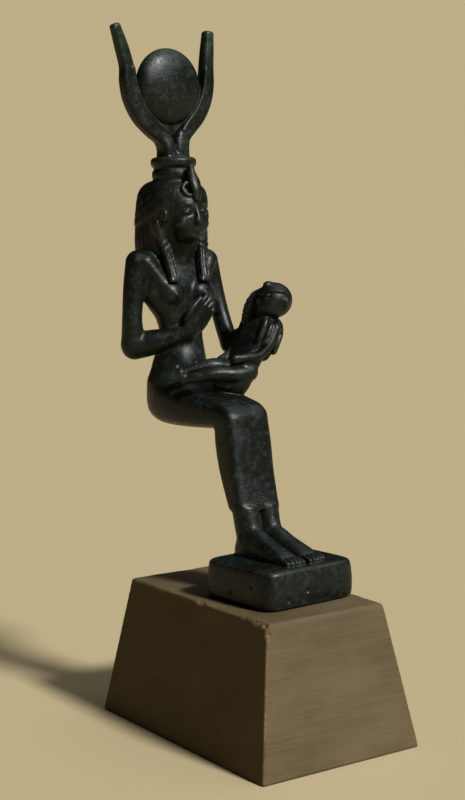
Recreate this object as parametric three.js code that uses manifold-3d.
// Isis nursing the child Horus: one solid bronze casting, seated on a throne that is lost, with her
// feet on a small plinth. It is set on a painted wooden block, a low pyramid with its top cut off.
// Millimetres, Z up, origin under the middle of the block. The figure faces -Y, so her left is +X.
import * as THREE from 'three';
import { mergeVertices } from 'three/addons/utils/BufferGeometryUtils.js';
import Module from 'manifold-3d';

// Driving dimensions.
const BLOCK = { height: 50, topWidth: 48.4, topDepth: 86.3, flare: 8.56 };
const FIGURE_PLACE = { x: 2.2, y: -13.6, turn: THREE.MathUtils.degToRad(4.2) };
const TOUCH_GAP = 0.3;
const PLINTH = { width: 40.8, depth: 37.6, height: 13.6 };
const SEAT_UNDERSIDE = 55.8;
const KNEE_TOP = 65.6;
const HEM = 29;
const WAIST = { height: 89, y: 54.8, halfWidth: 8.3, halfDepth: 6.1 };
const SHOULDER = { height: 116, y: 59.2, halfWidth: 15.2 };
const HEAD = { y: 58.4, crownHeight: 146, halfWidth: 12.4 };
const MODIUS = { y: 57.4, base: 144.5, top: 153.4, radius: 7.8, rim: 8.5 };
const DISC = { x: -0.7, y: 58.9, height: 179.3, radius: 14.0, thickness: 5.6 };
const HORN_TIP = 200.5;

const wasm = await Module();
wasm.setup();
const { Vector3, CatmullRomCurve3 } = THREE;
const SIDES_OF_BODY = [-1, 1];
const LEFT = new Vector3(1, 0, 0);
const BACK = new Vector3(0, 1, 0);
const UP = new Vector3(0, 0, 1);

// Turns any closed geometry into a solid for joining and cutting.
function solid(geometry) {
  const bare = geometry.clone();
  bare.deleteAttribute('normal');
  bare.deleteAttribute('uv');
  const merged = mergeVertices(bare, 1e-4);
  return new wasm.Manifold(new wasm.Mesh({
    numProp: 3,
    vertProperties: new Float32Array(merged.attributes.position.array),
    triVerts: new Uint32Array(merged.index.array),
  }));
}

function join(solids) {
  return solids.reduce((whole, next) => whole.add(next));
}

function meshOf(body, name, material) {
  const { vertProperties, triVerts } = body.getMesh();
  const geometry = new THREE.BufferGeometry();
  geometry.setAttribute('position', new THREE.BufferAttribute(vertProperties, 3));
  geometry.setIndex(new THREE.BufferAttribute(triVerts, 1));
  geometry.computeVertexNormals();
  const mesh = new THREE.Mesh(geometry, material);
  mesh.name = name;
  return mesh;
}

function signedVolume(points, triangles) {
  let volume = 0;
  const normal = new Vector3();
  for (const [a, b, c] of triangles) {
    volume += points[a].dot(normal.crossVectors(points[b], points[c])) / 6;
  }
  return volume;
}

// A closed skin over rings of points, all with the same count, shut by a fan at each end.
function skin(rings) {
  const count = rings[0].length;
  const points = rings.flat();
  const triangles = [];
  for (let ring = 0; ring + 1 < rings.length; ring += 1) {
    for (let i = 0; i < count; i += 1) {
      const a = ring * count + i;
      const b = ring * count + (i + 1) % count;
      triangles.push([a, b, b + count], [a, b + count, a + count]);
    }
  }
  for (const [ring, flip] of [[0, true], [rings.length - 1, false]]) {
    const middle = new Vector3();
    rings[ring].forEach((point) => middle.addScaledVector(point, 1 / count));
    points.push(middle);
    for (let i = 0; i < count; i += 1) {
      const a = ring * count + i;
      const b = ring * count + (i + 1) % count;
      triangles.push(flip ? [b, a, points.length - 1] : [a, b, points.length - 1]);
    }
  }
  if (signedVolume(points, triangles) < 0) {
    triangles.forEach((triangle) => triangle.reverse());
  }
  const geometry = new THREE.BufferGeometry().setFromPoints(points);
  geometry.setIndex(triangles.flat());
  return geometry;
}

// One cross-section: an oval that grows squarer with its power, with ribs round it where asked.
function section(centre, across, deep, width, depth, { sides, power = 2, ribs = 0, ribDepth = 0 }) {
  const ring = [];
  for (let i = 0; i < sides; i += 1) {
    const angle = (2 * Math.PI * i) / sides;
    const c = Math.cos(angle);
    const s = Math.sin(angle);
    const rib = 1 + ribDepth * Math.cos(ribs * angle);
    const x = Math.sign(c) * Math.abs(c) ** (2 / power) * width * rib;
    const y = Math.sign(s) * Math.abs(s) ** (2 / power) * depth * rib;
    ring.push(centre.clone().addScaledVector(across, x).addScaledVector(deep, y));
  }
  return ring;
}

// A body of parallel sections. Each station gives the section's middle and its two half sizes.
function stack(stations, across, deep, shape) {
  const { steps = stations.length - 1 } = shape;
  const path = new CatmullRomCurve3(stations.map(({ at }) => new Vector3(...at)));
  const sizes = new CatmullRomCurve3(stations.map(({ size }) => new Vector3(...size, 0)));
  const rings = [];
  for (let step = 0; step <= steps; step += 1) {
    const size = sizes.getPoint(step / steps);
    rings.push(section(path.getPoint(step / steps), across, deep, size.x, size.y, shape));
  }
  return solid(skin(rings));
}

// A limb, finger or strand: sections square to a curve, with a domed end at both tips.
function limb(stations, facing, shape) {
  const { steps = 2 * stations.length, domes = 2 } = shape;
  const path = new CatmullRomCurve3(stations.map(({ at }) => new Vector3(...at)));
  const sizes = new CatmullRomCurve3(stations.map(({ size }) => new Vector3(...size, 0)));
  const rings = [];
  const addRing = (t, shrink, shift) => {
    const tangent = path.getTangent(t);
    const across = new Vector3().crossVectors(facing, tangent).normalize();
    const deep = new Vector3().crossVectors(tangent, across);
    const size = sizes.getPoint(t);
    const centre = path.getPoint(t).addScaledVector(tangent, shift * size.y);
    rings.push(section(centre, across, deep, size.x * shrink, size.y * shrink, shape));
  };
  for (let dome = domes; dome > 0; dome -= 1) {
    const angle = (0.45 * Math.PI * dome) / domes;
    addRing(0, Math.cos(angle), -Math.sin(angle));
  }
  for (let step = 0; step <= steps; step += 1) {
    addRing(step / steps, 1, 0);
  }
  for (let dome = 1; dome <= domes; dome += 1) {
    const angle = (0.45 * Math.PI * dome) / domes;
    addRing(1, Math.cos(angle), Math.sin(angle));
  }
  return solid(skin(rings));
}

function ball([x, y, z], [rx, ry, rz], across = 12, down = 8) {
  const geometry = new THREE.SphereGeometry(1, across, down);
  geometry.scale(rx, ry, rz);
  geometry.translate(x, y, z);
  return solid(geometry);
}

// The foot plinth: a round-cornered slab that narrows a little towards its soft upper edge.
function footPlinth() {
  const { width, depth, height } = PLINTH;
  const slice = (z, inset) => ({ at: [0, 0, z], size: [width / 2 - inset, depth / 2 - inset] });
  return stack([
    slice(TOUCH_GAP, 2.0),
    slice(1.6, 0.7),
    slice(height / 2, 0.3),
    slice(height - 1.4, 1.2),
    slice(height, 2.8),
  ], LEFT, BACK, { sides: 24, steps: 4, power: 7 });
}

// Both feet side by side on the plinth, with cut toes.
function feet() {
  const floor = PLINTH.height - 1;
  return SIDES_OF_BODY.flatMap((side) => {
    const foot = stack([
      { at: [side * 4.2, 15.8, floor + 1.6], size: [2.6, 2.0] },
      { at: [side * 4.3, 12, floor + 3.2], size: [3.7, 4.4] },
      { at: [side * 4.4, 6, floor + 3.4], size: [3.8, 5.2] },
      { at: [side * 4.6, 0, floor + 2.4], size: [4.0, 4.0] },
      { at: [side * 4.7, -7, floor + 1.9], size: [4.3, 3.0] },
      { at: [side * 4.7, -12, floor + 1.6], size: [4.3, 2.4] },
    ], LEFT, UP, { sides: 10, steps: 5, power: 2.3 });
    const toes = [-3.2, -1.5, 0.1, 1.6, 3.1].map((offset, index) => {
      const reach = -14.4 + (side * offset > 0 ? 0.35 * Math.abs(index - 2) : 0);
      const x = side * 4.7 + offset;
      return limb([
        { at: [x, -9.5, floor + 2.3], size: [0.9, 1.4] },
        { at: [x, reach, floor + 1.8], size: [0.9, 1.2] },
      ], UP, { sides: 5, steps: 1, domes: 1 });
    });
    return [foot, ...toes];
  });
}

// Ankles below the hem, then both shins in one tight dress, up to the lap.
function legs() {
  const ankles = SIDES_OF_BODY.map((side) => stack([
    { at: [side * 4.4, 9.4, PLINTH.height], size: [3.7, 6.4] },
    { at: [side * 4.4, 9.8, 18.5], size: [3.6, 5.4] },
    { at: [side * 4.5, 11.6, 23.5], size: [3.8, 4.2] },
    { at: [side * 4.7, 13.4, HEM + 2], size: [4.3, 3.9] },
  ], LEFT, BACK, { sides: 10, steps: 3 }));
  const dress = stack([
    { at: [0, 13.6, HEM], size: [9.3, 4.4] },
    { at: [0, 15.4, 35], size: [9.4, 5.0] },
    { at: [0, 17.6, 43], size: [9.5, 5.7] },
    { at: [0, 18.9, 51], size: [9.6, 6.1] },
    { at: [0, 19.8, 58], size: [9.5, 5.8] },
    { at: [0, 20.8, 63.6], size: [9.3, 5.6] },
    { at: [0, 22.6, KNEE_TOP + 0.4], size: [8.8, 5.2] },
  ], LEFT, BACK, { sides: 16, steps: 6, power: 4 });
  return [...ankles, dress];
}

// The lap: both thighs and the hips in one slab, flat below where it sat on the throne.
function lap() {
  const under = SEAT_UNDERSIDE;
  const slice = (y, halfWidth, rise, top) => ({
    at: [0, y, (under + rise + top) / 2],
    size: [halfWidth, (top - under - rise) / 2],
  });
  return stack([
    slice(17.2, 8.6, 2.2, KNEE_TOP - 0.6),
    slice(22, 9.9, 1.2, KNEE_TOP + 1.8),
    slice(31, 11.6, 0.6, KNEE_TOP + 3.6),
    slice(40, 13.0, 0.2, KNEE_TOP + 5.8),
    slice(49, 13.6, 0, KNEE_TOP + 9),
    slice(56, 13.2, 0.2, KNEE_TOP + 12),
    slice(61.5, 11.4, 1.4, KNEE_TOP + 11),
    slice(65.6, 7.8, 4.6, KNEE_TOP + 6),
  ], LEFT, UP, { sides: 18, steps: 7, power: 2.9 });
}

// Belly, waist, ribs and shoulders, with the breasts.
function trunk() {
  const body = stack([
    { at: [0, 56.4, 72], size: [11.6, 9.4] },
    { at: [0, 56.0, 79], size: [10.4, 8.4] },
    { at: [0, WAIST.y + 0.2, WAIST.height - 4], size: [WAIST.halfWidth + 0.5, WAIST.halfDepth + 0.8] },
    { at: [0, WAIST.y, WAIST.height], size: [WAIST.halfWidth, WAIST.halfDepth] },
    { at: [0, 55.6, 95], size: [9.0, 6.4] },
    { at: [0, 56.6, 100.5], size: [12.7, 6.9] },
    { at: [0, 57.6, 107], size: [14.0, 7.2] },
    { at: [0, 58.6, 113], size: [15.4, 6.6] },
    { at: [0, SHOULDER.y, SHOULDER.height + 2.6], size: [14.6, 5.2] },
    { at: [0, SHOULDER.y + 0.2, SHOULDER.height + 5.8], size: [8.6, 4.4] },
  ], LEFT, BACK, { sides: 18, steps: 8, power: 2.3 });
  const breasts = SIDES_OF_BODY.map((side) => ball([side * 6.3, 53.2, 104.6], [5.2, 5.0, 5.0], 10, 7));
  return [body, ...breasts];
}

const armShape = { sides: 9, domes: 2 };

// Her right arm: down from the shoulder, then across the waist with the hand under the left breast.
function rightArm() {
  const upper = limb([
    { at: [-SHOULDER.halfWidth, 59.3, SHOULDER.height - 0.4], size: [5.0, 4.7] },
    { at: [-17.3, 59.5, 106.5], size: [4.0, 4.0] },
    { at: [-18.4, 59.6, 96], size: [3.6, 3.7] },
    { at: [-17.2, 60.0, 85.8], size: [4.6, 4.8] },
  ], BACK, { ...armShape, steps: 5 });
  const fore = limb([
    { at: [-16.8, 59.8, 85.4], size: [4.9, 4.5] },
    { at: [-12.6, 54.2, 87.3], size: [4.4, 4.0] },
    { at: [-8.2, 49.0, 90.6], size: [3.7, 3.3] },
    { at: [-4.6, 46.2, 94.0], size: [2.9, 2.5] },
  ], BACK, { ...armShape, steps: 5 });
  const palm = limb([
    { at: [-4.6, 46.4, 94.0], size: [2.9, 2.3] },
    { at: [-1.2, 45.6, 97.2], size: [3.6, 2.0] },
    { at: [1.4, 45.4, 99.6], size: [3.5, 1.8] },
  ], BACK, { sides: 10, steps: 3, domes: 1, power: 2.4 });
  const along = new Vector3(0.62, 0, 0.78);
  const across = new Vector3(0.78, 0, -0.62);
  const fingers = [-2.4, -0.8, 0.8, 2.4].map((offset, index) => {
    const root = new Vector3(0.9, 44.9, 99.1).addScaledVector(across, offset);
    const length = [5.6, 6.2, 5.8, 4.8][index];
    const tip = root.clone().addScaledVector(along, length).add(new Vector3(0, 0.9, 0));
    return limb([
      { at: root.toArray(), size: [0.85, 0.95] },
      { at: tip.toArray(), size: [0.7, 0.8] },
    ], BACK, { sides: 6, steps: 1, domes: 1 });
  });
  const thumb = limb([
    { at: [-2.6, 44.9, 97.6], size: [1.1, 1.1] },
    { at: [-2.0, 44.4, 100.8], size: [1.0, 1.0] },
    { at: [0.4, 45.0, 103.6], size: [0.85, 0.85] },
  ], BACK, { sides: 6, steps: 4, domes: 1 });
  return [upper, fore, palm, ...fingers, thumb];
}

// Her left arm: down and a little forward, then out along her side to hold the child's back.
function leftArm() {
  const upper = limb([
    { at: [SHOULDER.halfWidth, 59.2, SHOULDER.height - 0.4], size: [4.9, 4.6] },
    { at: [17.6, 58.0, 106.2], size: [3.7, 3.7] },
    { at: [18.7, 55.9, 98], size: [3.2, 3.3] },
    { at: [19.2, 53.0, 90], size: [3.2, 3.5] },
    { at: [19.8, 50.6, 84.6], size: [3.6, 3.8] },
  ], BACK, { ...armShape, steps: 6 });
  const fore = limb([
    { at: [19.9, 50.6, 84.8], size: [3.7, 3.6] },
    { at: [20.6, 44.4, 88.0], size: [3.3, 3.3] },
    { at: [21.2, 38.6, 91.2], size: [2.6, 2.8] },
  ], UP, { ...armShape, steps: 4 });
  const hand = limb([
    { at: [21.2, 38.8, 91.0], size: [2.0, 2.6] },
    { at: [22.2, 33.6, 91.8], size: [1.8, 3.5] },
    { at: [22.4, 29.4, 91.6], size: [1.5, 3.4] },
  ], UP, { sides: 10, steps: 3, domes: 1, power: 2.4 });
  const fingers = [-2.4, -0.8, 0.8, 2.4].map((rise) => limb([
    { at: [22.5 + 0.3 * rise, 30.0, 91.2 + rise], size: [0.95, 0.85] },
    { at: [22.4 + 0.3 * rise, 25.4, 90.8 + rise], size: [0.9, 0.85] },
    { at: [21.2 + 0.3 * rise, 22.4, 90.6 + rise], size: [0.8, 0.8] },
  ], UP, { sides: 6, steps: 2, domes: 1 }));
  return [upper, fore, hand, ...fingers];
}

// The vulture cap and the long wig behind it, cut into strands, with a lappet over each breast.
function wig() {
  const { y, crownHeight, halfWidth } = HEAD;
  const hair = stack([
    { at: [0, y + 1.0, crownHeight + 0.2], size: [4.5, 5.0] },
    { at: [0, y + 0.6, crownHeight - 1.4], size: [8.6, 9.6] },
    { at: [0, y + 0.4, crownHeight - 4.6], size: [halfWidth - 1.0, 13.2] },
    { at: [0, y + 0.6, crownHeight - 10], size: [halfWidth, 14.0] },
    { at: [0, y + 2.0, crownHeight - 16], size: [halfWidth + 0.2, 12.6] },
    { at: [0, y + 3.2, crownHeight - 23], size: [halfWidth + 0.6, 10.6] },
    { at: [0, y + 3.6, crownHeight - 28], size: [halfWidth + 0.2, 9.0] },
    { at: [0, y + 3.8, crownHeight - 33], size: [halfWidth - 1.6, 7.0] },
  ], LEFT, BACK, { sides: 36, steps: 8, power: 2.15, ribs: 18, ribDepth: 0.02 });
  const lappets = SIDES_OF_BODY.map((side) => stack([
    { at: [side * 8.2, 53.8, 125], size: [2.4, 2.6] },
    { at: [side * 8.8, 52.6, 120.5], size: [3.0, 2.3] },
    { at: [side * 7.7, 50.8, 114.5], size: [3.0, 1.9] },
    { at: [side * 6.1, 48.9, 108.2], size: [2.9, 1.5] },
  ], LEFT, BACK, { sides: 12, steps: 3, power: 3, ribs: 6, ribDepth: 0.06 }));
  return [hair, ...lappets];
}

// The face below the diadem, with ears in front of the wig.
function head() {
  const { y } = HEAD;
  const skull = stack([
    { at: [0, y - 4.4, 122.6], size: [3.6, 4.6] },
    { at: [0, y - 6.2, 124.6], size: [4.8, 7.0] },
    { at: [0, y - 6.0, 128], size: [7.0, 8.6] },
    { at: [0, y - 5.6, 132.5], size: [8.3, 9.4] },
    { at: [0, y - 5.0, 137.5], size: [8.4, 9.8] },
    { at: [0, y - 4.4, 141], size: [7.4, 8.6] },
  ], LEFT, BACK, { sides: 14, steps: 6, power: 2.2 });
  const front = y - 15;
  const nose = limb([
    { at: [0, front + 0.6, 134.6], size: [0.8, 0.9] },
    { at: [0, front - 0.5, 130.8], size: [1.4, 1.1] },
  ], BACK, { sides: 6, steps: 2, domes: 1 });
  const lips = ball([0, front + 1.1, 127.9], [2.4, 1.2, 0.9], 8, 5);
  const chin = ball([0, front + 2.6, 125.4], [2.8, 1.9, 1.7], 8, 5);
  const eyes = SIDES_OF_BODY.map((side) => ball([side * 3.6, front + 1.5, 133.6], [2.0, 1.0, 1.0], 7, 5));
  const ears = SIDES_OF_BODY.map((side) => ball([side * 9.4, y - 7.4, 132.5], [1.6, 1.3, 2.7], 7, 5));
  const diadem = stack([
    { at: [0, y - 4.2, 136.9], size: [9.7, 10.6] },
    { at: [0, y - 4.0, 138.9], size: [9.7, 10.4] },
  ], LEFT, BACK, { sides: 16, steps: 1, power: 2.2 });
  return [skull, nose, lips, chin, ...eyes, ...ears, diadem];
}

// The brow cobra that climbs the front of the cap, and the round crown base with its ring of cobras.
function crownBase() {
  const cobra = limb([
    { at: [0, HEAD.y - 14.2, 137.6], size: [1.4, 1.1] },
    { at: [0, HEAD.y - 13.6, 141.5], size: [1.7, 1.2] },
    { at: [0, HEAD.y - 11.8, 145.6], size: [1.5, 1.2] },
    { at: [0, HEAD.y - 13.0, 148.4], size: [1.1, 1.3] },
  ], BACK, { sides: 7, steps: 4, domes: 1 });
  const { base, top, radius, rim } = MODIUS;
  const profile = [
    [0, base],
    [radius + 0.3, base],
    [radius - 0.1, base + 1.2],
    [radius - 0.2, top - 4.4],
    [rim, top - 3.6],
    [rim, top - 1.6],
    [radius - 0.4, top - 0.9],
    [radius - 0.9, top],
    [0, top],
  ].map(([r, z]) => new THREE.Vector2(r, z));
  const drum = new THREE.LatheGeometry(profile, 18);
  drum.rotateX(Math.PI / 2);
  drum.translate(0, MODIUS.y, 0);
  return [cobra, solid(drum)];
}

// The stem, the two cow's horns that part from it, and the sun disc held between them.
function hornsAndDisc() {
  const y = DISC.y;
  const stem = stack([
    { at: [0, y - 1.4, MODIUS.top - 1], size: [5.9, 3.4] },
    { at: [0, y - 1.2, 157.5], size: [5.7, 3.2] },
    { at: [0, y - 0.4, 160.4], size: [6.4, 2.9] },
    { at: [0, y, 163], size: [5.0, 2.6] },
    { at: [0, y, 164.6], size: [2.8, 1.8] },
  ], LEFT, BACK, { sides: 12, steps: 4, power: 3 });
  const rightHorn = limb([
    { at: [-3.2, y, 160.4], size: [2.7, 2.8] },
    { at: [-8.6, y, 164.4], size: [3.2, 2.8] },
    { at: [-13.5, y, 168.8], size: [3.2, 2.8] },
    { at: [-17.0, y, 174.7], size: [3.1, 2.7] },
    { at: [-18.5, y, 180.5], size: [2.8, 2.6] },
    { at: [-18.9, y, 186], size: [2.4, 2.4] },
    { at: [-21.0, y, 193], size: [2.2, 2.2] },
    { at: [-23.1, y, HORN_TIP - 1.6], size: [1.8, 1.8] },
  ], BACK, { sides: 9, steps: 8, domes: 1, power: 2.4 });
  const leftHorn = limb([
    { at: [3.2, y, 160.6], size: [2.7, 2.8] },
    { at: [7.9, y, 165.2], size: [3.2, 2.8] },
    { at: [12.0, y, 169.6], size: [3.2, 2.8] },
    { at: [15.1, y, 175.2], size: [3.1, 2.7] },
    { at: [16.6, y, 181], size: [2.8, 2.6] },
    { at: [16.9, y, 187], size: [2.5, 2.5] },
    { at: [17.4, y, 193], size: [2.3, 2.3] },
    { at: [17.9, y, HORN_TIP - 1.8], size: [2.0, 2.0] },
  ], BACK, { sides: 9, steps: 8, domes: 1, power: 2.4 });
  const { radius, thickness, height } = DISC;
  const profile = [-90, -50, -22, 0, 22, 50, 90].map(THREE.MathUtils.degToRad).map((angle) => {
    const reach = radius * Math.cos(angle) ** 0.6;
    return new THREE.Vector2(Math.max(0, reach), (thickness / 2) * Math.sin(angle));
  });
  const disc = new THREE.LatheGeometry(profile, 24);
  disc.translate(DISC.x, y, height);
  return [stem, rightHorn, leftHorn, solid(disc)];
}

// The child: stiff, lying back across the lap, legs towards her right, head up at her left.
function child() {
  const hips = new Vector3(6.6, 30.2, 74.6);
  const shoulders = new Vector3(17.0, 28.7, 92.2);
  const spine = shoulders.clone().sub(hips).normalize();
  const across = new Vector3().crossVectors(spine, BACK).normalize();
  const deep = new Vector3().crossVectors(across, spine).normalize();
  const point = (t) => hips.clone().lerp(shoulders, t).toArray();
  const body = stack([
    { at: point(-0.32), size: [3.6, 4.4] },
    { at: point(-0.1), size: [4.9, 5.8] },
    { at: point(0.3), size: [4.5, 5.4] },
    { at: point(0.62), size: [4.4, 5.9] },
    { at: point(0.88), size: [4.3, 6.9] },
    { at: point(1.06), size: [3.4, 5.2] },
    { at: point(1.2), size: [2.5, 2.7] },
    { at: point(1.34), size: [2.4, 2.5] },
  ], across, deep, { sides: 12, steps: 7, power: 2.2 });
  const skull = ball([22.0, 27.3, 101.4], [6.9, 6.4, 6.5], 12, 8);
  const jaw = ball([18.6, 27.3, 99.4], [4.6, 4.9, 4.3], 9, 6);
  const nose = ball([14.6, 27.3, 101.2], [1.2, 0.9, 1.0], 6, 4);
  const cobra = limb([
    { at: [18.6, 27.3, 106.2], size: [1.0, 1.0] },
    { at: [20.2, 27.3, 108.3], size: [1.2, 1.0] },
  ], BACK, { sides: 6, steps: 1, domes: 1 });
  const ear = ball([22.6, 20.9, 100.6], [1.4, 0.9, 1.9], 7, 5);
  const lock = limb([
    { at: [20.6, 32.2, 104.0], size: [2.2, 1.9] },
    { at: [18.2, 33.0, 101.8], size: [3.0, 2.3] },
    { at: [16.2, 33.4, 98.4], size: [3.2, 2.4] },
    { at: [14.8, 33.8, 94.8], size: [2.6, 2.0] },
  ], BACK, { sides: 7, steps: 3, domes: 1 });
  const nearArm = limb([
    { at: [18.2, 22.2, 91.8], size: [2.1, 2.1] },
    { at: [15.0, 21.6, 86.4], size: [1.9, 1.9] },
    { at: [10.8, 22.4, 81.2], size: [1.7, 1.8] },
    { at: [5.2, 24.8, 78.6], size: [1.4, 1.4] },
  ], BACK, { sides: 7, steps: 3, domes: 1 });
  const farArm = limb([
    { at: [15.8, 35.8, 92.6], size: [2.4, 2.4] },
    { at: [12.8, 36.8, 86.8], size: [2.0, 2.0] },
    { at: [8.8, 36.6, 82.4], size: [1.8, 1.8] },
    { at: [3.2, 35.6, 80.4], size: [1.4, 1.4] },
  ], BACK, { sides: 7, steps: 3, domes: 1 });
  const nearLeg = limb([
    { at: [7.0, 27.0, 75.4], size: [3.5, 3.3] },
    { at: [-1.0, 28.4, 76.8], size: [2.9, 2.7] },
    { at: [-6.6, 30.6, 76.4], size: [2.2, 2.1] },
    { at: [-12.6, 34.0, 75.0], size: [1.7, 1.7] },
  ], UP, { sides: 8, steps: 5, domes: 1 });
  const farLeg = limb([
    { at: [7.0, 33.4, 76.2], size: [3.5, 3.3] },
    { at: [-0.6, 34.6, 77.8], size: [2.9, 2.7] },
    { at: [-6.2, 36.2, 77.6], size: [2.2, 2.1] },
    { at: [-11.6, 38.6, 76.4], size: [1.7, 1.7] },
  ], UP, { sides: 7, steps: 4, domes: 1 });
  const footPair = [[-13.4, 34.4, 75.2], [-12.4, 38.9, 76.2]].map(([x, y, z]) => limb([
    { at: [x, y, z - 0.6], size: [1.6, 1.3] },
    { at: [x - 1.6, y + 0.2, z + 2.4], size: [1.5, 1.0] },
  ], BACK, { sides: 6, steps: 1, domes: 1 }));
  const seat = ball([3.2, 31.0, 71.4], [7.6, 5.8, 4.6], 10, 5);
  return [body, skull, jaw, nose, cobra, ear, lock, nearArm, farArm, nearLeg, farLeg, ...footPair, seat];
}

// The wooden block: a low pyramid with its top cut off, bruised along its upper edges.
function woodenBlock() {
  const { height, topWidth, topDepth, flare } = BLOCK;
  const ring = (z, grow) => SIDES_OF_BODY.flatMap((side) => [
    new Vector3(-side * (topWidth / 2 + grow), side * (topDepth / 2 + grow), z),
    new Vector3(side * (topWidth / 2 + grow), side * (topDepth / 2 + grow), z),
  ]);
  const soft = 0.5;
  const block = solid(skin([
    ring(0, flare),
    ring(height - soft, (flare * soft) / height),
    ring(height, -soft),
  ]));
  const side = -topWidth / 2 - 0.6;
  const front = -topDepth / 2 - 0.4;
  const bruises = [
    ball([side, -3.4, height + 0.3], [1.5, 2.6, 1.7], 6, 4),
    ball([side, -30, height + 0.3], [1.4, 2.3, 1.3], 6, 4),
    ball([side, -38, height + 0.2], [1.7, 3.4, 1.9], 7, 4),
    ball([side + 0.4, front, height - 0.8], [1.4, 1.4, 2.2], 6, 4),
    ball([-side, front + 0.6, height + 0.2], [1.7, 1.4, 1.2], 6, 4),
  ];
  return bruises.reduce((whole, bruise) => whole.subtract(bruise), block);
}

const figure = join([
  footPlinth(),
  ...feet(),
  ...legs(),
  lap(),
  ...trunk(),
  ...rightArm(),
  ...leftArm(),
  ...wig(),
  ...head(),
  ...crownBase(),
  ...hornsAndDisc(),
  ...child(),
]);

const bronze = new THREE.MeshStandardMaterial({ color: 0x1f2a22, roughness: 0.45, metalness: 0.9 });
const paintedWood = new THREE.MeshStandardMaterial({ color: 0x8d8378, roughness: 0.8, metalness: 0 });

const statuette = meshOf(figure, 'isis_and_horus_bronze', bronze);
statuette.position.set(FIGURE_PLACE.x, FIGURE_PLACE.y, BLOCK.height);
statuette.rotation.z = FIGURE_PLACE.turn;

const block = meshOf(woodenBlock(), 'wooden_block', paintedWood);

const part = new THREE.Group();
part.add(block, statuette);

export default part;
